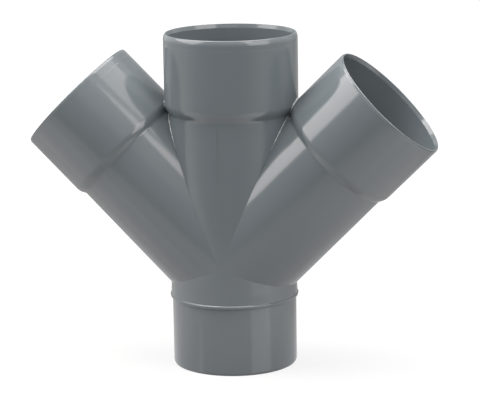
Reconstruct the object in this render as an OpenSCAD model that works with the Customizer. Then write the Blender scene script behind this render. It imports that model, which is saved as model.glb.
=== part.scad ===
// Double pipe tee: one injection moulded drain fitting, with a plain spigot at
// the foot, a straight run above it and two branches swept up and outwards.
// Every mouth is a plain socket that is glued onto a pipe of the spigot's size.
// The origin is the centre of the spigot's end face. +Z runs up the main line,
// and the branches lie in the XZ plane. All sizes are in millimetres.

/* [Pipe] */
// Outside diameter of the pipe, and of the fitting's own spigot
pipe_d = 110; // [109:0.5:110.5]
// Wall thickness of the spigot
wall = 3.2; // [2.8:0.1:4]
// Angle between the main line and each branch
branch_angle = 45; // [44:0.5:48]

/* [Body] */
// Height above the spigot's end at which the three axes cross
cross_h = 95.8; // [92:0.2:110]
// Outside diameter of the body where the limbs meet
root_d = 111.8; // [111.4:0.1:112.4]
// Outside diameter of the body just above the collar
collar_d = 112.4; // [112:0.1:113]
// Outside diameter of each limb just below its socket
neck_d = 110.2; // [109:0.1:110.8]
// Inside diameter of the waterway where the limbs meet
water_d = 103.2; // [102:0.1:104]
// Growth of the waterway's radius towards each end, so that the cores draw
water_draft = 0.4; // [0.1:0.1:0.8]

/* [Sockets] */
// Distance from the crossing of the axes to the mouth of the run
run_mouth = 199.1; // [196:0.1:230]
// Distance from the crossing of the axes to the mouth of each branch
branch_mouth = 199.4; // [196.5:0.1:230]
// Depth of each socket, from its mouth to the stop that the pipe meets
socket_depth = 61; // [50:1:62]
// Clearance on radius between the pipe and the socket
glue_gap = 0.2; // [0.1:0.05:0.4]
// Wall thickness of the run's socket
run_socket_wall = 3.5; // [3.2:0.1:3.8]
// Wall thickness of each branch's socket
branch_socket_wall = 2.9; // [2.8:0.1:3.2]

/* [Shoulder] */
// Length of the run's socket at its full outside diameter, from mouth to shoulder
run_socket_len = 62.2; // [55:0.1:64]
// Length of each branch's socket at its full outside diameter
branch_socket_len = 61.2; // [55:0.1:64]
// Radius of the rounded outer edge of the shoulder
shoulder_round = 7; // [4:0.5:8]
// Radius of the hollow where the shoulder runs out onto the limb
shoulder_hollow = 5; // [4:0.5:9]
// Slope of the shoulder between the two, measured from the limb's axis
shoulder_slope = 27; // [22:1:32]

/* [Mouth] */
// Radius of the rounded outer edge of the mouth
lip_round = 4; // [2:0.5:6]
// Width of the flat ring left on the end of the mouth
lip_flat = 0.8; // [0.4:0.1:1]
// Length of the bevel that leads the pipe in
lead_len = 3.5; // [2:0.5:5]
// Depth of that bevel into the wall
lead_in = 1; // [0.6:0.1:1.2]

/* [Spigot] */
// Length of the spigot below the collar
spigot_len = 61.6; // [50:0.2:62]
// Radius of the rounded bead at the foot of the body
bead_r = 1.6; // [1.4:0.1:2]
// Height that the bead stands out of the body
bead_proud = 0.3; // [0.1:0.1:0.4]
// Length of the bevel on the spigot's end
chamfer_len = 2; // [1:0.5:4]
// Depth of that bevel into the wall
chamfer_in = 0.7; // [0.4:0.1:1.2]

/* [Hidden] */
$fn = 120;
// How far a core or a cutting square runs on past the end that it opens
spare = 6;

pipe_r = pipe_d / 2;
root_r = root_d / 2;
neck_r = neck_d / 2;
water_r = water_d / 2;
bore_r = pipe_r + glue_gap;
stop_round = 0.8;

// Each limb is a plain cylinder as far as the seam between branch and foot
// reaches, and tapers from there to its neck
taper_len = run_mouth - root_r * tan(branch_angle / 2) - 1;

// Length of the shoulder: its two arcs, and the straight slope between them
// that makes up what the arcs leave of the step in radius
function shoulder_len(socket_r) =
    let (arcs = shoulder_round + shoulder_hollow, step = socket_r - neck_r)
    arcs * sin(shoulder_slope)
        + (step - arcs * (1 - cos(shoulder_slope))) / tan(shoulder_slope);

// The sections below are drawn with the radius across the page and the
// distance from the crossing of the axes up it, and are then revolved.

// The outside of a limb, solid to its axis, up to its rounded mouth
module arm_outside(mouth, socket_r, socket_len) {
    top = mouth - socket_len;
    foot = top - shoulder_len(socket_r);
    across = [cos(shoulder_slope), -sin(shoulder_slope)];
    round_centre = [socket_r - shoulder_round, top];
    hollow_centre = [neck_r + shoulder_hollow, foot];
    lip_in = socket_r - bore_r - lip_flat - lead_in;
    lip_sweep = acos(1 - lip_in / lip_round);
    lip_centre = [socket_r - lip_round, mouth - lip_round * sin(lip_sweep)];
    intersection() {
        square([socket_r + spare, mouth]);
        difference() {
            union() {
                polygon([
                    [0, 0],
                    [root_r, 0],
                    [root_r, mouth - taper_len],
                    [neck_r, foot],
                    hollow_centre - shoulder_hollow * across,
                    round_centre + shoulder_round * across,
                    [socket_r, top],
                    [socket_r, lip_centre[1]],
                    [socket_r - lip_in, mouth],
                    [0, mouth]
                ]);
                translate(round_centre) circle(shoulder_round);
                translate(lip_centre) circle(lip_round);
            }
            translate(hollow_centre) circle(shoulder_hollow);
        }
    }
}

// The core of a limb: the waterway, the stop, the bore for the pipe and the
// bevel that leads it in
module arm_core(mouth) {
    stop = mouth - socket_depth;
    drawn_r = water_r + water_draft;
    polygon([
        [0, 0],
        [water_r, 0],
        [water_r, mouth - taper_len],
        [drawn_r, stop - stop_round],
        [drawn_r + stop_round, stop],
        [bore_r, stop],
        [bore_r, mouth - lead_len],
        [bore_r + lead_in, mouth],
        [bore_r + lead_in, mouth + spare],
        [0, mouth + spare]
    ]);
}

// The outside of the foot, upside down, with the bead where it steps in to
// the spigot
module foot_outside() {
    collar = cross_h - spigot_len;
    polygon([
        [0, 0],
        [root_r, 0],
        [root_r, root_r * tan(branch_angle / 2) + 1],
        [collar_d / 2, collar],
        [pipe_r, collar],
        [pipe_r, cross_h - chamfer_len],
        [pipe_r - chamfer_in, cross_h],
        [0, cross_h]
    ]);
    translate([collar_d / 2 + bead_proud - bead_r, collar]) circle(bead_r);
}

// The core of the foot, upside down
module foot_core() {
    polygon([
        [0, 0],
        [water_r, 0],
        [water_r, root_r * tan(branch_angle / 2) + 1],
        [pipe_r - wall, cross_h],
        [pipe_r - wall, cross_h + spare],
        [0, cross_h + spare]
    ]);
}

// Revolves a section about the axis of the left and of the right branch
module both_branches() {
    for (side = [-1, 1])
        rotate([0, side * branch_angle, 0])
            rotate_extrude() children();
}

module double_tee() {
    color([0.38, 0.404, 0.416])
        translate([0, 0, cross_h])
            difference() {
                union() {
                    rotate_extrude() {
                        arm_outside(run_mouth, bore_r + run_socket_wall, run_socket_len);
                        mirror([0, 1]) foot_outside();
                    }
                    both_branches()
                        arm_outside(branch_mouth, bore_r + branch_socket_wall, branch_socket_len);
                }
                union() {
                    rotate_extrude() {
                        arm_core(run_mouth);
                        mirror([0, 1]) foot_core();
                    }
                    both_branches() arm_core(branch_mouth);
                }
            }
}

double_tee();
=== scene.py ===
# %% [markdown]
# # A moulded drain fitting: the double pipe tee
#
# This lesson dresses one real object: a grey plastic fitting that joins four
# drain pipes. A spigot at the foot goes into the pipe below, and three
# sockets, one straight up and one on each slanting branch, take the pipes
# above. It is a single injection moulding, so the whole lesson is about one
# surface: how four round limbs run into one another, how the edges are
# eased, and how glossy plastic looks under soft lamps.
#
# The imported model comes first. It fixes the size and the place of everything, and it is kept in
# the scene, hidden.

# %% The imported frame
import math
import bpy
import numpy as np
from mathutils import Matrix


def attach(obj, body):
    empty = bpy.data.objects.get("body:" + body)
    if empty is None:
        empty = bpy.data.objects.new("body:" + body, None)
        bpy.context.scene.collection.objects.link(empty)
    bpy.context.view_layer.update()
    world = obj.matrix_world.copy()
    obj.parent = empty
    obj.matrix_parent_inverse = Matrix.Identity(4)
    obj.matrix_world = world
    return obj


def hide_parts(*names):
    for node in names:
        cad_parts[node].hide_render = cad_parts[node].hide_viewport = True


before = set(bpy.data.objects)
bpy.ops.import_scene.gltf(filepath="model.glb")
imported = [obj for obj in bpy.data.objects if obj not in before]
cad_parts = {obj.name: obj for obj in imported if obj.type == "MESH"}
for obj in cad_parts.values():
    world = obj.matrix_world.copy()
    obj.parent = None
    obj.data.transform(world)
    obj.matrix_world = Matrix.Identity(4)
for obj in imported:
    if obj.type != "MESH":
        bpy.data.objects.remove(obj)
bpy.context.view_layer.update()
scene = bpy.context.scene

# %% [markdown]
# ## Sizes
#
# Every size is in millimetres, as on the maker's drawing, and is turned to
# metres only when a mesh is made. Distances along a limb are counted from
# the point where the four axes cross, 95.8 mm above the spigot's end.
#
# A socket is described by the distance of its mouth, its outside radius and
# the length that has this radius. Its lip is eased by a wide arc and then a
# tighter one: two numbers for each, the radius and the angle in degrees at
# which the arc ends.

# %% The fitting's own measures
MM = 0.001
CROSSING = 95.8          # height of the crossing above the spigot's end
TILT = math.radians(45)  # between the main line and each branch
ACROSS = math.pi - TILT  # between a branch and the foot
PIPE_R = 55.0            # the pipe's and the spigot's outside
ROOT_R = 55.9            # outside of the limbs where they meet
NECK_R = 55.1            # outside of a limb just below its socket
COLLAR_R = 56.2          # outside of the body just above the bead
BORE_R = 55.2            # inside of a socket
WATER_R = 51.6           # inside of the waterway at the crossing
DRAWN_R = 52.0           # inside of the waterway at a stop
SPIGOT_BORE_R = 51.8     # inside of the spigot at its end
SPIGOT_LEN = 61.6        # from the bead's seat to the spigot's end
SOCKET_DEPTH = 61.0      # from the mouth to the stop
PLAIN_LEN = ROOT_R * math.tan(TILT / 2) + 1  # how far each limb is a plain cylinder
RUN = {"mouth": 199.1, "socket_r": 58.7, "full_len": 62.2, "lip": (9.7, 25, 1.2, 60)}
BRANCH = {"mouth": 199.27, "socket_r": 58.1, "full_len": 61.07, "lip": (6.7, 21, 1.5, 55)}
print("fitting", round(CROSSING + RUN["mouth"], 1), "mm high")

# %% [markdown]
# ## The camera
#
# The photograph was taken with a long lens from nearly two metres away, a
# little above the fitting and a little to its right. A long lens keeps the
# two slanting sockets almost the same size. The camera is described by the
# way it looks back from the fitting, so its three axes are worked out from
# two angles and a small roll.

# %% Camera
AZIMUTH, ELEVATION, ROLL = (math.radians(a) for a in (13.072, 12.249, -0.932))
DISTANCE = 1.9154                      # from the point aimed at, in metres
LENS, SENSOR = 161.749, 36             # focal length and sensor width, in millimetres
AIM_SIDE, AIM_UP = 0.005352, 0.046933  # point aimed at, from the crossing, in metres

back = np.array([math.sin(AZIMUTH) * math.cos(ELEVATION),
                 -math.cos(AZIMUTH) * math.cos(ELEVATION), math.sin(ELEVATION)])
level = np.array([math.cos(AZIMUTH), math.sin(AZIMUTH), 0.0])
upright = np.cross(back, level)
right = math.cos(ROLL) * level + math.sin(ROLL) * upright
up = math.cos(ROLL) * upright - math.sin(ROLL) * level
aim = np.array([0, 0, CROSSING * MM]) + right * AIM_SIDE + up * AIM_UP

camera = bpy.data.objects.new("camera", bpy.data.cameras.new("camera"))
scene.collection.objects.link(camera)
camera.data.sensor_fit, camera.data.sensor_width = "HORIZONTAL", SENSOR
camera.data.lens, camera.data.clip_end = LENS, 50
stance = np.eye(4)
stance[:3, :3] = np.stack([right, up, back], 1)
stance[:3, 3] = aim + back * DISTANCE
camera.matrix_world = Matrix(stance.tolist())
scene.camera = camera
print("camera at", np.round(stance[:3, 3], 3))

# %% [markdown]
# ## Helpers for nodes and colours
#
# Colours are written as the hex values that a paint chart would show, and
# Blender works in linear light, so one function turns one into the other.
# Another one adds a node with its settings and links in a single line, which
# keeps a material as short to read as a recipe.

# %% Node and colour helpers
def linear(hex_colour):
    """sRGB hex to linear RGBA: each channel is raised by the sRGB curve,
    value over 12.92 below 0.04045, and ((value + 0.055) / 1.055) to the 2.4
    above it."""
    c = np.array([int(hex_colour[i:i + 2], 16) / 255 for i in (1, 3, 5)])
    c = np.where(c <= 0.04045, c / 12.92, ((c + 0.055) / 1.055) ** 2.4)
    return (*c.tolist(), 1.0)


def node(tree, kind, settings=(), **inputs):
    """Adds a node. Settings are its properties, and each input is either a
    value or the output socket that feeds it. An input is called by its name,
    with _ for a space, or by its number after the letter i."""
    made = tree.nodes.new(kind)
    for name, value in dict(settings).items():
        setattr(made, name, value)
    for name, value in inputs.items():
        numbered = name[0] == "i" and name[1:].isdigit()
        socket = made.inputs[int(name[1:]) if numbered else name.replace("_", " ")]
        if isinstance(value, bpy.types.NodeSocket):
            tree.links.new(value, socket)
        else:
            socket.default_value = value
    return made


def new_material(name):
    """An empty node material and its tree."""
    material = bpy.data.materials.new(name)
    material.use_nodes = True
    material.node_tree.nodes.clear()
    return material, material.node_tree


WHITE = linear("#ffffff")
print("white in linear light", WHITE)

# %% [markdown]
# ## Levels of light
#
# Glossy plastic shows its whole surroundings, so the room's light is made uneven and the board gets
# a painted, uneven glow. That takes two more helpers. One makes a level of light from smooth steps
# along a place or a direction. The other tells what is looking at a surface: the camera itself, or
# a ray that gloss or glass has sent on.

# %% Helpers for levels of light
def falloff(tree, *steps):
    """A level made of smooth steps, all multiplied. Each step is the value
    that it follows, the span over which it changes and its levels at both
    ends of that span."""
    level = 1.0
    for value, span, ends in steps:
        step = node(tree, "ShaderNodeMapRange", {"interpolation_type": "SMOOTHSTEP"}, Value=value,
                    From_Min=span[0], From_Max=span[1], To_Min=ends[0], To_Max=ends[1])
        level = node(tree, "ShaderNodeMath", {"operation": "MULTIPLY"},
                     i0=level, i1=step.outputs[0]).outputs[0]
    return level


def looked_at(tree):
    """Two values of 0 or 1: whether the ray comes from the camera, and
    whether gloss or glass has sent it on."""
    path = node(tree, "ShaderNodeLightPath").outputs
    sent_on = node(tree, "ShaderNodeMath", {"operation": "MAXIMUM"},
                   i0=path["Is Glossy Ray"], i1=path["Is Transmission Ray"])
    return path["Is Camera Ray"], sent_on.outputs[0]


# %% [markdown]
# ## The board
#
# The fitting stands on a white laminate board. Laminate is paper pressed in
# clear resin: white, and glossy enough to show a faint mirror image at a
# flat angle. The camera sees it as plain white with the fitting's soft
# shadow on it, because a part of its white is the light that falls on it.
#
# In the plastic's gloss the board shows a painted pool of light. It is a glow, brightest beside the
# fitting and more so on its right, that falls off behind it and towards its front edge, 0.6 m in
# front. It stands in for the light of the softboxes on the board. Light that has bounced off a matt
# surface meets a dimmer grey, so the fitting isn't washed out.

# %% White laminate board
# Each step: its span in metres, and the levels at both ends of the span
LEFT_SIDE = ((-0.4, 0.0), (1.13, 0.95))
RIGHT_SIDE = ((0.0, 0.36), (1.0, 1.75))
BOTH_FAR_SIDES = ((0.45, 1.2), (1.0, 0.5))
TO_THE_FRONT = ((-0.77, -0.12), (0.3, 1.0))
TO_THE_BACK = ((-0.08, 0.26), (1.0, 0.25))
SEEN_FROM_MIDDLE = ((0.25, 0.8), (0.82, 1.0))
SKEW = -0.25             # the fall to the front runs a little aslant
RESIN_IOR = 1.5          # typical of clear melamine resin

board, tree = new_material("white_laminate_board")
spot = node(tree, "ShaderNodeTexCoord").outputs["Object"]
x, y = (node(tree, "ShaderNodeSeparateXYZ", Vector=spot).outputs[k] for k in "XY")
off_centre = node(tree, "ShaderNodeMath", {"operation": "ABSOLUTE"}, i0=x).outputs[0]
aslant = node(tree, "ShaderNodeMath", {"operation": "MULTIPLY_ADD"}, i0=x, i1=SKEW, i2=y).outputs[0]
from_middle = node(tree, "ShaderNodeVectorMath", {"operation": "LENGTH"}, i0=spot).outputs["Value"]
# Painted light: the glow that the plastic's gloss sees on the board, brightest beside the fitting
painted_pool_level = falloff(tree, (x, *LEFT_SIDE), (x, *RIGHT_SIDE), (off_centre, *BOTH_FAR_SIDES),
                         (aslant, *TO_THE_FRONT), (y, *TO_THE_BACK))
painted_pool_glow = node(tree, "ShaderNodeEmission", Color=WHITE, Strength=painted_pool_level)
seen_glow = node(tree, "ShaderNodeEmission", Color=WHITE,
                 Strength=falloff(tree, (from_middle, *SEEN_FROM_MIDDLE)))
resin = node(tree, "ShaderNodeBsdfGlossy", Color=WHITE, Roughness=0.08)
flat_angle = node(tree, "ShaderNodeFresnel", IOR=RESIN_IOR)
coated = node(tree, "ShaderNodeMixShader", i0=flat_angle.outputs[0],
              i1=painted_pool_glow.outputs[0], i2=resin.outputs[0])
from_camera, sent_on = looked_at(tree)
seen = node(tree, "ShaderNodeMixShader", i0=from_camera, i1=coated.outputs[0],
            i2=seen_glow.outputs[0])
lit = node(tree, "ShaderNodeBsdfDiffuse", Color=linear("#616161"))
shown = node(tree, "ShaderNodeAddShader", i0=seen.outputs[0], i1=lit.outputs[0])
dim = node(tree, "ShaderNodeBsdfDiffuse", Color=linear("#767676"))
shows = node(tree, "ShaderNodeMath", {"operation": "MAXIMUM"}, i0=from_camera, i1=sent_on)
finish = node(tree, "ShaderNodeMixShader", i0=shows.outputs[0], i1=dim.outputs[0],
              i2=shown.outputs[0])
node(tree, "ShaderNodeOutputMaterial", Surface=finish.outputs[0])
print("finish", board.name)

# %% [markdown]
# The board is one flat face. It starts in front of the fitting, where the
# dark front of the room begins to show in the plastic, and runs so far back
# and to the sides that no other edge of it shows.

# %% The board's place
HALF_WIDTH, FRONT_EDGE, BACK_EDGE = 6, -0.6, 9     # in metres
floor_mesh = bpy.data.meshes.new("floor")
floor_mesh.from_pydata([(-HALF_WIDTH, FRONT_EDGE, 0), (HALF_WIDTH, FRONT_EDGE, 0),
                        (HALF_WIDTH, BACK_EDGE, 0), (-HALF_WIDTH, BACK_EDGE, 0)],
                       [], [(0, 1, 2, 3)])
floor_mesh.materials.append(board)
floor = bpy.data.objects.new("floor", floor_mesh)
scene.collection.objects.link(floor)
print("board reaches", -FRONT_EDGE, "m in front of the fitting")

# %% [markdown]
# ## The surround
#
# Around the board is a white studio. The camera sees it as plain white. In
# the gloss it is dark straight behind the camera, where no wall is lit, and
# dimmer again at the far end of the room. The world's own light does this,
# so no wall has to be built that would shade the lamps.

# %% White surround
AMBIENT = 0.39                              # what light off a matt surface meets
FRONT_END = ((-0.95, 0.0), (0.32, 1.0))     # along y, from behind the camera to the sides
FAR_WAY = (-0.03, 0.95, 0.28)               # where the dim far end lies
FAR_END = ((0.66, 0.88), (1.15, 0.48))      # along that way, from the sides to the end

world = bpy.data.worlds.new("surround")
scene.world = world
world.use_nodes = True
tree = world.node_tree
tree.nodes.clear()
way = node(tree, "ShaderNodeTexCoord").outputs["Generated"]
along_y = node(tree, "ShaderNodeSeparateXYZ", Vector=way).outputs["Y"]
far = node(tree, "ShaderNodeVectorMath", {"operation": "DOT_PRODUCT"}, i0=way, i1=FAR_WAY)
room = falloff(tree, (along_y, *FRONT_END), (far.outputs["Value"], *FAR_END))
from_camera, sent_on = looked_at(tree)
around = node(tree, "ShaderNodeMix", Factor=sent_on, A=AMBIENT, B=room)
shown = node(tree, "ShaderNodeMix", Factor=from_camera, A=around.outputs["Result"], B=1.0)
backdrop = node(tree, "ShaderNodeBackground", Color=WHITE, Strength=shown.outputs["Result"])
node(tree, "ShaderNodeOutputWorld", Surface=backdrop.outputs[0])
scene.view_settings.view_transform = "Standard"
print("surround", AMBIENT)

# %% [markdown]
# ## Lamps
#
# Two softboxes stand in front of the fitting, a wide one on the left and a
# smaller one on the right. Their reflections are the long pale streaks on
# the slanting limbs. A small strip draws the narrow streak inside the left
# shoulder, three more boxes light the fitting from above and one fills in
# from the front. Each is placed by the direction in which the fitting sees
# it: an azimuth counted from straight ahead, a height angle and a distance.

# %% Softboxes
MIDDLE = np.array([0, 0, 0.16])      # the fitting's middle, which they all face
LAMP_COLOUR = (1.0, 0.94, 0.925)     # a little warm
# Azimuth and height in degrees, distance, width and height of the box in
# metres, power in watts, and roll in degrees
SOFTBOXES = {
    "left_softbox": (-69, 33.5, 1.5, 1.38, 0.92, 18.4, -20),
    "right_softbox": (62, 22, 1.5, 1.03, 0.87, 10.2, 0),
    "right_strip": (46, 39, 1.45, 0.31, 0.33, 1.1, 0),
    "upper_left_softbox": (-88, 61, 1.5, 1.05, 0.8, 12.2, 0),
    "upper_right_softbox": (92, 66, 1.5, 1.2, 0.9, 7.6, 0),
    "top_softbox": (180, 84, 1.5, 1.6, 1.6, 32, 0),
    "front_fill": (25, 38, 1.5, 1.3, 1.0, 1.8, 0),
}


def softbox(name, azimuth, height, distance, width, tall, power, roll):
    """An area lamp that faces the fitting's middle. Its place is
    distance * (sin a cos h, -cos a cos h, sin h) from there, and roll turns
    it about the line to the fitting."""
    a, h, turned = math.radians(azimuth), math.radians(height), math.radians(roll)
    way = np.array([math.sin(a) * math.cos(h), -math.cos(a) * math.cos(h), math.sin(h)])
    side = np.array([math.cos(a), math.sin(a), 0.0])
    upward = np.cross(way, side)
    place = np.eye(4)
    place[:3, 0] = math.cos(turned) * side + math.sin(turned) * upward
    place[:3, 1] = math.cos(turned) * upward - math.sin(turned) * side
    place[:3, 2], place[:3, 3] = way, MIDDLE + way * distance
    lamp = bpy.data.lights.new(name, "AREA")
    lamp.shape, lamp.size, lamp.size_y, lamp.energy = "RECTANGLE", width, tall, power
    lamp.color = LAMP_COLOUR
    box = bpy.data.objects.new(name, lamp)
    box.matrix_world = Matrix(place.tolist())
    box.visible_camera = False
    scene.collection.objects.link(box)


for name, measures in SOFTBOXES.items():
    softbox(name, *measures)

# %% [markdown]
# ## The outline of a limb
#
# Each limb was turned on a lathe in the mould maker's shop, so it is an
# outline carried round an axis. The outline is drawn like a toolmaker's: a
# few corners, each with the radius that the cutter leaves. Walking along it
# with the plastic on the right, the open air is always on the left, so the
# surface's direction comes for free.

# %% Outlines with rounded corners
def rounded(corners, steps=7):
    """Corners are rows of (along, across, radius). Each inner corner becomes
    an arc: it starts radius * tan(half the turn) before the corner, and after
    a turn of x it has moved by radius * (sin x, 1 - cos x) in the frame of
    the line that comes in. Returns along, across and the left-hand normal."""
    p = np.array(corners, float)
    line = np.diff(p[:, :2], axis=0)
    line /= np.linalg.norm(line, axis=1)[:, None]
    come, go, radius = line[:-1], line[1:], p[1:-1, 2]
    bend = np.arctan2(come[:, 0] * go[:, 1] - come[:, 1] * go[:, 0], (come * go).sum(1))
    start = p[1:-1, :2] - come * (radius * np.tan(np.abs(bend) / 2))[:, None]
    x = bend[:, None] * np.linspace(0, 1, steps + 1)
    left = np.stack([-come[:, 1], come[:, 0]], 1)
    ahead = radius[:, None] * np.sin(np.abs(x))
    aside = radius[:, None] * (1 - np.cos(x)) * np.sign(bend)[:, None]
    arc = start[:, None] + ahead[..., None] * come[:, None] + aside[..., None] * left[:, None]
    normal = np.cos(x)[..., None] * left[:, None] - np.sin(x)[..., None] * come[:, None]
    ends = np.array([[-line[0, 1], line[0, 0]], [-line[-1, 1], line[-1, 0]]])
    path = np.vstack([p[:1, :2], arc.reshape(-1, 2), p[-1:, :2]])
    facing = np.vstack([ends[:1], normal.reshape(-1, 2), ends[1:]])
    return np.hstack([path, facing])


PLAIN_EASE = 20          # radius where the plain cylinder starts to taper
square_end = rounded([(0, 0, 0), (10, 0, 2), (10, -10, 0)])
print("a corner of radius 2 starts at", square_end[1, :2].round(2))

# %% [markdown]
# ## Arms and foot
#
# Three limbs end in a socket. From the crossing outwards, the outline runs
# along the plain root, tapers to the neck and climbs the shoulder to the
# socket. Near the mouth it passes a step as fine as a hair, the witness of
# the ring that closes the mould, and goes over the lip. Then it comes back
# down the bevel that leads the pipe in, the bore, the stop and the waterway.
# The foot ends in the spigot instead, with a rounded bead where the body
# steps in.

# %% Arms
SLOPE = math.radians(30)           # shoulder, from the limb's axis
SHOULDER_OUT, SHOULDER_IN = 12.0, 3.0  # radii of its rounded edge and of its hollow
SHOULDER_BELOW = 2.0               # its edge, below the end of the full radius
WITNESS_AT, WITNESS_LEN = 9.4, 1.0     # its distance from the mouth, and its length
WITNESS_STEP, WITNESS_EASE = 0.06, 6   # its depth, and the radius of its corners
LEAD_LEN, LEAD_IN, LEAD_EASE = 3.5, 1.0, 1.5  # bevel that leads the pipe in
RING_FLAT = 0.8                    # flat ring on the end of the mouth
RING_CORNER, LEAD_CORNER = 0.4, 0.25   # radii of the ring's outer and inner corner
STOP_CORNER, STOP_EDGE = 0.3, 0.8      # radii at the stop's root and at its edge


def arm_outline(mouth, socket_r, full_len, lip):
    """Outside of a limb from the crossing to its mouth, over the lip and
    back down the inside. The lip's arcs end on a short straight, a hundredth
    longer than the tight arc and the flat ring's corner take up."""
    stop, high = mouth - SOCKET_DEPTH, mouth - full_len - SHOULDER_BELOW
    wide, tight, first, second = lip[0], lip[2], math.radians(lip[1]), math.radians(lip[3])
    end_r = socket_r - WITNESS_STEP
    ring = BORE_R + LEAD_IN + RING_FLAT
    short = (tight * math.tan((second - first) / 2)
             + RING_CORNER * math.tan(math.pi / 4 - second / 2) + 0.01)
    turn_r, turn_at = ring + short * math.sin(second), mouth - short * math.cos(second)
    return rounded([
        (0, ROOT_R, 0),
        (PLAIN_LEN, ROOT_R, PLAIN_EASE),
        (high - (socket_r - NECK_R) / math.tan(SLOPE), NECK_R, SHOULDER_IN),
        (high, socket_r, SHOULDER_OUT),
        (mouth - WITNESS_AT, socket_r, WITNESS_EASE),
        (mouth - WITNESS_AT + WITNESS_LEN, end_r, WITNESS_EASE),
        (turn_at - (end_r - turn_r) / math.tan(first), end_r, wide),
        (turn_at, turn_r, tight),
        (mouth, ring, RING_CORNER),
        (mouth, BORE_R + LEAD_IN, LEAD_CORNER),
        (mouth - LEAD_LEN, BORE_R, LEAD_EASE),
        (stop, BORE_R, STOP_CORNER),
        (stop, DRAWN_R, STOP_EDGE),
        (PLAIN_LEN, WATER_R, PLAIN_EASE),
        (0, WATER_R, 0),
    ])


outlines = {"run": arm_outline(**RUN), "branch": arm_outline(**BRANCH)}
print("arms", {name: len(path) for name, path in outlines.items()}, "points")

# %% Foot
# Corners of the bead: distance past its seat, radius from the collar's, ease
BEAD = ((-1.7, -0.04, 0.3), (-0.85, 0.86, 1.0), (1.5, 0.45, 1.2))
BEAD_END, BEAD_END_EASE = 1.75, 0.25   # where it meets the spigot, and that corner
CHAMFER_LEN, CHAMFER_IN = 2.0, 0.7     # bevel on the spigot's end
CHAMFER_EASE, END_CORNER = 1.5, 0.4    # radii of that bevel's start and of the end


def foot_outline():
    """Outside of the foot from the crossing down to the spigot's end, and
    back up the inside. The bead is an arc of its own between the two."""
    seat = CROSSING - SPIGOT_LEN
    return rounded([
        (0, ROOT_R, 0),
        (PLAIN_LEN, ROOT_R, PLAIN_EASE),
        *((seat + past, COLLAR_R + out, ease) for past, out, ease in BEAD),
        (seat + BEAD_END, PIPE_R, BEAD_END_EASE),
        (CROSSING - CHAMFER_LEN, PIPE_R, CHAMFER_EASE),
        (CROSSING, PIPE_R - CHAMFER_IN, END_CORNER),
        (CROSSING, SPIGOT_BORE_R, END_CORNER),
        (PLAIN_LEN, WATER_R, PLAIN_EASE),
        (0, WATER_R, 0),
    ])


outlines["foot"] = foot_outline()
for name, path in outlines.items():
    print(name, len(path), "points, reach", path[:, 0].max().round(2),
          "widest", path[:, 1].max().round(2))

# %% [markdown]
# ## Where the limbs meet
#
# Two limbs that cross hide part of each other. Only what lies outside the
# other limb is kept, up to the seam where both surfaces have the same
# height. Here the seam is worked out from the branch: at each distance along
# it, the sideways coordinate is halved down until the point lies on the
# other limb's surface too. The same is done inside, for the waterway.

# %% Seams between limbs
def walls(name):
    """The outline of a limb, split into its outside and its inside, each in
    order of the distance along the limb."""
    path = outlines[name]
    turn_back = int(np.argmax(path[:, 0]))
    return path[:turn_back + 1], path[turn_back:][::-1]


def radius_at(wall, along):
    """Radius of a wall at a distance along its limb."""
    return np.interp(along, wall[:, 0], wall[:, 1])


def seam(along, own, other, angle, halvings=60):
    """For points of a limb at a distance along it, with u the coordinate
    towards the other limb, finds the u at which the distance from the other
    axis, (along sin a - u cos a)^2 + r^2 - u^2, equals the other radius
    squared. Found by halving, for all points at once."""
    r = radius_at(own, along)
    low, high = np.maximum(-along / math.tan(angle), -r), r.copy()
    for _ in range(halvings):
        u = (low + high) / 2
        off = along * math.sin(angle) - u * math.cos(angle)
        there = radius_at(other, along * math.cos(angle) + u * math.sin(angle))
        outside = off ** 2 + r ** 2 - u ** 2 > there ** 2
        low, high = np.where(outside, u, low), np.where(outside, high, u)
    return np.where(along > 0, u, 0.0)


def crotch(own, other, angle, rounds=50):
    """How far along a limb its seam ends, where both limbs meet in the
    middle plane: (other radius + own radius cos a) / sin a. Worked out over
    again from a first guess, because the radii change along the limbs."""
    along, there = 100.0, 100.0
    for _ in range(rounds):
        r, q = radius_at(own, along), radius_at(other, there)
        along = (q + r * math.cos(angle)) / math.sin(angle)
        there = (r + q * math.cos(angle)) / math.sin(angle)
    return along


branch_walls, run_walls, foot_walls = walls("branch"), walls("run"), walls("foot")
for side, b, r in zip(("outside", "inside"), branch_walls, run_walls):
    print(side, "crotch", crotch(b, r, TILT).round(2), "mm along the branch")

# %% [markdown]
# ## One quarter of the skin
#
# Front and back are alike, and so are left and right, so one quarter is
# worked out and mirrored twice. Each limb is a grid: rows follow the outline
# from the crossing to the mouth and back inside, and the columns of a row
# are spread over the part of the turn that shows. At a seam, both limbs use
# the very same points, so the halves close without a gap.

# %% Rows along the limbs
HEEL_ROWS, LIMB_ROWS, SHOULDER_ROWS, CROTCH_ROWS = 15, 30, 34, 10


def rows_to_seam_end(own, foot_wall, run_wall, low, high):
    """Distances along the branch at which the seams get points: even turns
    round the seam with the foot, steps of a few millimetres up to low, fine
    ones on to high, and even turns again up to the crotch."""
    heel, end = crotch(own, foot_wall, ACROSS), crotch(own, run_wall, TILT)
    first = heel * np.sin(np.linspace(0, math.pi / 2, HEEL_ROWS))
    up_to = np.linspace(heel, low, LIMB_ROWS)[1:]
    over = np.linspace(low, high, SHOULDER_ROWS)[1:] if high > low else np.zeros(0)
    last = end * np.cos(np.linspace(math.acos(high / end), 0, CROTCH_ROWS))[1:]
    return np.concatenate([first, up_to, over, last])


def at(wall, along):
    """Rows of a wall (along, radius, normal) at given distances."""
    got = np.stack([np.interp(along, wall[:, 0], wall[:, k]) for k in range(4)], 1)
    got[:, 2:] /= np.linalg.norm(got[:, 2:], axis=1)[:, None]
    return got


def turn_of(u, along, wall):
    """Angle of a seam point round its limb, from the way to the other limb."""
    return np.arccos(np.clip(u / radius_at(wall, along), -1, 1))


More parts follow.
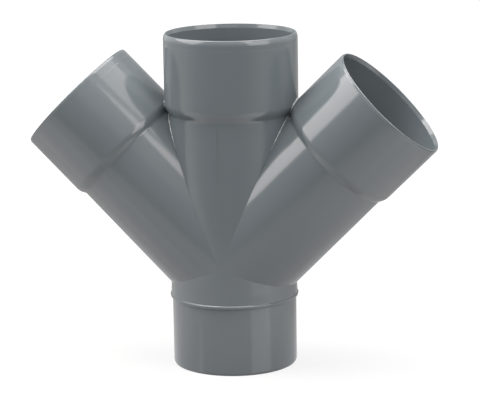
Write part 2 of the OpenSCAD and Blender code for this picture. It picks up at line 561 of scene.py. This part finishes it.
shoulder_top = BRANCH["mouth"] - BRANCH["full_len"]
FINE_OUTSIDE = (shoulder_top - 10, shoulder_top + 1.6)   # over the branch's shoulder
FINE_INSIDE = (110.0, 110.0)                             # nothing there needs fine rows
print("fine rows from", round(FINE_OUTSIDE[0], 2), "to", round(FINE_OUTSIDE[1], 2))

# %% [markdown]
# The branch meets the run on one side and the foot on the other. For both
# seams, outside and inside, the same points are noted from each limb: how
# far along it they lie, and how far towards the other one.

# %% Points on the seams
seams = []
for b, r, f, fine in zip(branch_walls, run_walls, foot_walls, (FINE_OUTSIDE, FINE_INSIDE)):
    along = rows_to_seam_end(b, f, r, *fine)
    heel = along[:HEEL_ROWS]
    u, v = seam(along, b, r, TILT), seam(heel, b, f, ACROSS)
    seams.append({
        "branch": along,
        "run": along * math.cos(TILT) + u * math.sin(TILT),
        "foot": heel * math.cos(ACROSS) + v * math.sin(ACROSS),
        "branch_to_run": turn_of(u, along, b),
        "branch_to_foot": turn_of(v, heel, b),
        "run_u": along * math.sin(TILT) - u * math.cos(TILT),
        "foot_u": heel * math.sin(ACROSS) - v * math.cos(ACROSS),
    })
outside_seam, inside_seam = seams
for s in seams:
    print("seam points", len(s["branch"]), "crotch at", s["branch"][-1].round(2),
          "and", s["run"][-1].round(2))

# %% [markdown]
# The seams fix the rows near the crossing. Past them, the rows are the
# outline's own points. A limb's rows run from the crossing out along the
# outside and back along the inside, so outside and inside seams are both
# ends of the same grid. Run and foot show a quarter turn of which a seam
# takes the start, and the branch shows half a turn with a seam at each end.

# %% The quarter's three grids
COLUMNS = 33             # in a quarter turn
ROW_GAP = 0.2            # between the last seam row and the first row of the outline
AXIS = {"run": np.array([0, 0, 1.0]), "foot": np.array([0, 0, -1.0]),
        "branch": np.array([math.sin(TILT), 0, math.cos(TILT)])}
SIDE = {"run": np.array([1.0, 0, 0]), "foot": np.array([1.0, 0, 0]),
        "branch": np.array([-math.cos(TILT), 0, math.sin(TILT)])}


def limb_rows(name):
    """Outside rows at the seam's distances, the outline's own points past
    them, and the inside rows at theirs."""
    outer, inner = walls(name)
    outer_along, inner_along = outside_seam[name], inside_seam[name]
    keep_out = outer[outer[:, 0] > outer_along[-1] + ROW_GAP]
    keep_in = inner[inner[:, 0] > inner_along[-1] + ROW_GAP][::-1]
    return np.vstack([at(outer, outer_along), keep_out, keep_in[1:],
                      at(inner, inner_along)[::-1]])


def limits(rows, first, last):
    """An angle for each row: the seam's on the first and last rows, and 0 on
    all the rest."""
    value = np.zeros(len(rows))
    value[:len(first)] = first
    value[len(rows) - len(last):] = last[::-1]
    return value


def grid(rows, low, high, columns, axis, towards):
    """Points and normals of a limb: centre line along * axis, plus radius *
    (cos t * towards - sin t * y), with t spread evenly from low to high on
    each row."""
    t = low[:, None] + (high - low)[:, None] * np.linspace(0, 1, columns + 1)
    y = np.array([0.0, -1.0, 0.0])
    radial = np.cos(t)[..., None] * towards + np.sin(t)[..., None] * y
    points = rows[:, 0][:, None, None] * axis + rows[:, 1][:, None, None] * radial
    normals = rows[:, 2][:, None, None] * axis + rows[:, 3][:, None, None] * radial
    return points, normals


grids = {}
for name, two_walls in (("run", run_walls), ("branch", branch_walls), ("foot", foot_walls)):
    rows, columns = limb_rows(name), COLUMNS
    if name == "branch":
        columns = 2 * COLUMNS
        low = limits(rows, *(s["branch_to_run"] for s in seams))
        high = math.pi - limits(rows, *(s["branch_to_foot"] for s in seams))
    else:
        low = limits(rows, *(turn_of(s[name + "_u"], s[name], wall)
                             for s, wall in zip(seams, two_walls)))
        high = np.full(len(rows), math.pi / 2)
    grids[name] = grid(rows, low, high, columns, AXIS[name], SIDE[name])
print("grids", {name: points.shape[:2] for name, (points, _) in grids.items()})

# %% [markdown]
# ## Closing the skin
#
# The quarter's grids become triangles. Three mirrored copies follow, with
# the order of the corners swapped wherever a single mirror turned them
# inside out. Points that fall together are then made one, and triangles that
# have shrunk to a line, at the point where all four limbs meet, are dropped.
# A closed skin has every edge in exactly two triangles, which is counted.

# %% Triangles
def triangles(points, normals, flip):
    """Corner positions and normals of two triangles for each cell of a grid.
    The diagonal joins the cell's nearer pair of corners."""
    cells, facing = ((g[:-1, :-1], g[:-1, 1:], g[1:, 1:], g[1:, :-1]) for g in (points, normals))
    spans = [np.linalg.norm(cells[k] - cells[k + 2], axis=-1) for k in (0, 1)]
    short = (spans[0] <= spans[1])[..., None, None]
    both = []
    for a, b, c, d in (cells, facing):
        first = np.where(short, np.stack([a, b, c], 2), np.stack([a, b, d], 2))
        second = np.where(short, np.stack([a, c, d], 2), np.stack([b, c, d], 2))
        both.append(np.concatenate([first.reshape(-1, 3, 3), second.reshape(-1, 3, 3)]))
    return tuple(part[:, ::-1] for part in both) if flip else tuple(both)


def outward(points, normals):
    """Whether a grid's cells, taken in order, face along its normals. One
    cell on the limb's outside tells it for all."""
    row, column = len(points) // 4, 5
    a, b, d = points[row, column], points[row, column + 1], points[row + 1, column]
    return np.dot(np.cross(b - a, d - a), normals[row, column]) > 0


parts = [triangles(p, n, not outward(p, n)) for p, n in grids.values()]
corner, normal = (np.concatenate(part) for part in zip(*parts))
print("one quarter", len(corner), "triangles")

# %% Mirrors and welding
ON_PLANE = 1e-7          # points this near to a plane of symmetry lie on it
# Points are counted as one if they round to the same 1/2000 mm. The small
# offset keeps round sizes away from the border between two such steps.
WELD_STEPS, WELD_OFFSET = 2000, 0.237

corner[np.abs(corner) < ON_PLANE] = 0
mirrors = [np.array(m, float) for m in ((1, 1, 1), (-1, 1, 1), (1, -1, 1), (-1, -1, 1))]
corner, normal = (np.concatenate([(part * m)[:, ::(1 if m.prod() > 0 else -1)] for m in mirrors])
                  for part in (corner, normal))
keys = np.round(corner.reshape(-1, 3) * WELD_STEPS + WELD_OFFSET).astype(np.int64)
_, firsts, index = np.unique(keys, axis=0, return_index=True, return_inverse=True)
vertices = (corner.reshape(-1, 3)[firsts] + (0, 0, CROSSING)) * MM
index = index.reshape(-1, 3)
whole = ((index[:, 0] != index[:, 1]) & (index[:, 1] != index[:, 2])
         & (index[:, 2] != index[:, 0]))
index, normal = index[whole], normal[whole]
edges = np.sort(np.concatenate([index[:, [0, 1]], index[:, [1, 2]], index[:, [2, 0]]]), axis=1)
_, uses = np.unique(edges, axis=0, return_counts=True)
print("skin", len(vertices), "points", len(index), "triangles, edges not in two:",
      int((uses != 2).sum()))

# %% [markdown]
# The mesh takes the arrays whole. It also takes each corner's own normal,
# straight from the outline, so a reflection runs over the limbs as smoothly
# as on the polished mould, and stays crisp at the seams.

# %% The skin as a mesh
skin_mesh = bpy.data.meshes.new("double_tee_skin")
skin_mesh.vertices.add(len(vertices))
skin_mesh.vertices.foreach_set("co", vertices.ravel())
skin_mesh.loops.add(index.size)
skin_mesh.loops.foreach_set("vertex_index", index.ravel().astype(np.int32))
skin_mesh.polygons.add(len(index))
skin_mesh.polygons.foreach_set("loop_start", np.arange(0, index.size, 3, dtype=np.int32))
skin_mesh.update(calc_edges=True)
skin_mesh.validate()
skin_mesh.shade_smooth()
skin_mesh.normals_split_custom_set(normal.reshape(-1, 3).tolist())
skin = bpy.data.objects.new("double_tee_skin", skin_mesh)
scene.collection.objects.link(skin)
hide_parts("double_tee")
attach(skin, "root")
print("skin box", (vertices.min(0) / MM).round(2), (vertices.max(0) / MM).round(2))

# %% [markdown]
# ## Flash in the valleys
#
# Where two inserts of the mould meet, a little plastic is squeezed into the
# gap. It stands as a thin uneven thread in the two valleys beside the run.
# Each thread is a tube along the seam, from the back over the crotch to the
# front, thicker at the right crotch than at the left. A much finer line runs
# down the front of the run, and a last scrap sits on the bead, where the
# mould's halves part. A tube with a radius of its own at each ring is the
# simplest body that can swell and die away like that.

# %% A thread of flash
def thread(path, radius, sides=8):
    """A closed tube about a path: rings of radius * (cos t * e + sin t * f),
    where e and f stand square to the path, and a fan over each end."""
    ahead = np.gradient(path, axis=0)
    ahead /= np.linalg.norm(ahead, axis=1)[:, None]
    e = np.cross(ahead, [0.3, 0.2, 1.0])
    e /= np.linalg.norm(e, axis=1)[:, None]
    f = np.cross(ahead, e)
    t = np.linspace(0, 2 * math.pi, sides, endpoint=False)[None, :, None]
    out = np.cos(t) * e[:, None] + np.sin(t) * f[:, None]
    ring = path[:, None] + radius[:, None, None] * out
    points = np.vstack([ring.reshape(-1, 3), path[:1], path[-1:]])
    a = np.arange((len(path) - 1) * sides)
    b = a // sides * sides + (a + 1) % sides
    rim = np.arange(sides)
    last = (len(path) - 1) * sides
    faces = np.vstack([
        np.stack([a, b, b + sides], 1), np.stack([a, b + sides, a + sides], 1),
        np.stack([(rim + 1) % sides, rim, np.full(sides, len(points) - 2)], 1),
        np.stack([last + rim, last + (rim + 1) % sides, np.full(sides, len(points) - 1)], 1),
    ])
    tri = points[faces]
    inside_out = np.einsum("ij,ij->", tri[:, 0], np.cross(tri[:, 1], tri[:, 2])) < 0
    return points, faces[:, ::-1] if inside_out else faces


def died_away(count, over):
    """Factors that grow from nearly 0 to 1 over the first rings, and fall
    back over the last ones."""
    ring = np.arange(count)
    return np.clip(np.minimum(ring, ring[::-1]) / over, 0.05, 1)


LINE_FROM, LINE_TO, LINE_RINGS = 127, 72, 40     # above the crossing
LINE_THICK, LINE_SUNK = 0.36, 0.02               # radius, and depth of its centre
down = np.linspace(LINE_FROM, LINE_TO, LINE_RINGS)
line_path = np.stack([0 * down, LINE_SUNK - radius_at(run_walls[0], down), down], 1)
BEAD_SPOT, BEAD_FROM, BEAD_TO = (56.5, 0.2), -35.6, -33.0
BEAD_THICK, BEAD_RINGS = 0.55, 7
bead_path = np.array([[*BEAD_SPOT, z] for z in np.linspace(BEAD_FROM, BEAD_TO, BEAD_RINGS)])
bead_round = np.sqrt(np.clip(1 - np.linspace(-1, 1, BEAD_RINGS) ** 2, 0.02, 1))
threads = {
    "flash_line": thread(line_path, LINE_THICK * died_away(LINE_RINGS, 6)),
    "flash_on_bead": thread(bead_path, BEAD_THICK * bead_round),
}
print("on the run and the bead", {name: len(faces) for name, (_, faces) in threads.items()})

# %% [markdown]
# The thread in a valley follows the outside seam between branch and run,
# from the crotch down to the front, and is mirrored to the back. Two waves of
# different length make it uneven, as a squeezed edge is. The left one is the
# right one mirrored, without the swelling at the crotch.

# %% Threads in the two valleys
FLASH_DOWN, FLASH_STEP = 62, 0.5     # how far it runs down from the crotch, ring spacing
FLASH_THICK, FLASH_END = 0.6, 14     # radius, and length over which it dies away
MORE_AT_CROTCH, CROTCH_REACH = {"flash_right": 0.75, "flash_left": 0.0}, 8
SWELLS = ((0.24, 1.3, 0), (0.2, 0.61, 1))        # size, length of a radian, start

valley = grids["branch"][0][:len(outside_seam["branch"]), 0][::-1]      # crotch to front
length = np.r_[0, np.cumsum(np.linalg.norm(np.diff(valley, axis=0), axis=1))]
run_down = np.arange(0, FLASH_DOWN, FLASH_STEP)
front = np.stack([np.interp(run_down, length, valley[:, k]) for k in range(3)], 1)
right_path = np.vstack([(front * (1, -1, 1))[:0:-1], front])
uneven = 1 + sum(size * np.sin(run_down / pace + start) for size, pace, start in SWELLS)
uneven *= np.clip((FLASH_DOWN - run_down) / FLASH_END, 0.05, 1)
for (name, more), side in zip(MORE_AT_CROTCH.items(), (1, -1)):
    thick = (FLASH_THICK + more * np.exp(-(run_down / CROTCH_REACH) ** 2)) * uneven
    threads[name] = thread(right_path * (side, 1, 1), np.r_[thick[:0:-1], thick])
    print(name, "thickest", thick.max().round(2), "mm in radius")

# %% [markdown]
# All four threads become meshes in the same way. Each is an object of its
# own, so that it can have a finish of its own.

# %% The threads as meshes
for name, (points, faces) in threads.items():
    flash_mesh = bpy.data.meshes.new(name)
    flash_mesh.from_pydata(((points + (0, 0, CROSSING)) * MM).tolist(), [], faces.tolist())
    flash_mesh.shade_smooth()
    flash = bpy.data.objects.new(name, flash_mesh)
    scene.collection.objects.link(flash)
    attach(flash, "root")
    print(name, len(faces), "triangles")

# %% [markdown]
# ## Moulded PVC
#
# Drain fittings are injection moulded in rigid PVC. The mould is polished,
# so the plastic comes out glossy and mirrors the lamps as clear streaks.
# Pigment makes it a cool mid grey, a touch lighter in some places than in
# others where the melt didn't mix to the end. The wall shrinks as it cools,
# which leaves waves of a few hundredths of a millimetre, and the skin has a
# fine orange peel. Both bend the streaks' edges very slightly.
#
# Real orange peel is finer than a millimetre and wouldn't show at this
# distance. It is drawn 2.5 mm wide, which is as fine as still shows.

# %% Injection-moulded rigid PVC
CLOUD_SIZE, WAVE_SIZE, PEEL_SIZE = 45.45, 22.22, 2.5   # in millimetres
WAVE_DEPTH, PEEL_DEPTH = 0.06, 0.003                   # from crest to trough
PVC_IOR = 1.53                                         # typical of rigid PVC
pvc, tree = new_material("injection_moulded_rigid_pvc")
place = node(tree, "ShaderNodeTexCoord").outputs["Object"]
cloud = node(tree, "ShaderNodeTexNoise", Vector=place, Scale=1 / (CLOUD_SIZE * MM), Detail=2.0)
shade = node(tree, "ShaderNodeMix", {"data_type": "RGBA"}, Factor=cloud.outputs["Fac"],
             A=linear("#5f676b"), B=linear("#636b6f"))
wave = node(tree, "ShaderNodeTexNoise", Vector=place, Scale=1 / (WAVE_SIZE * MM), Detail=1.0)
sink = node(tree, "ShaderNodeBump", Height=wave.outputs["Fac"], Strength=1.0,
            Distance=WAVE_DEPTH * MM)
peel = node(tree, "ShaderNodeTexNoise", Vector=place, Scale=1 / (PEEL_SIZE * MM), Detail=2.0)
skinned = node(tree, "ShaderNodeBump", Height=peel.outputs["Fac"], Strength=1.0,
               Distance=PEEL_DEPTH * MM, Normal=sink.outputs[0])
gloss = node(tree, "ShaderNodeBsdfPrincipled", Base_Color=shade.outputs["Result"],
             Roughness=0.14, IOR=PVC_IOR, Normal=skinned.outputs[0])
node(tree, "ShaderNodeOutputMaterial", Surface=gloss.outputs[0])
skin_mesh.materials.append(pvc)
print("finish", pvc.name)

# %% [markdown]
# The flash threads in the valleys are given a pale, dull grey. It is a painted highlight that shows
# them as pale uneven lines in the dark valleys. The line and the scrap keep the body's finish.

# %% Painted highlight on the valley flash
flash_painted_highlight, tree = new_material("pvc_painted_highlight")
# The threads are real flash, and their pale colour is a painted highlight
dull = node(tree, "ShaderNodeBsdfPrincipled", Base_Color=linear("#a4a9ac"), Roughness=0.35,
            IOR=PVC_IOR)
node(tree, "ShaderNodeOutputMaterial", Surface=dull.outputs[0])
for name in threads:
    finish = flash_painted_highlight if name in MORE_AT_CROTCH else pvc
    bpy.data.objects[name].data.materials.append(finish)
print("finish", flash_painted_highlight.name)
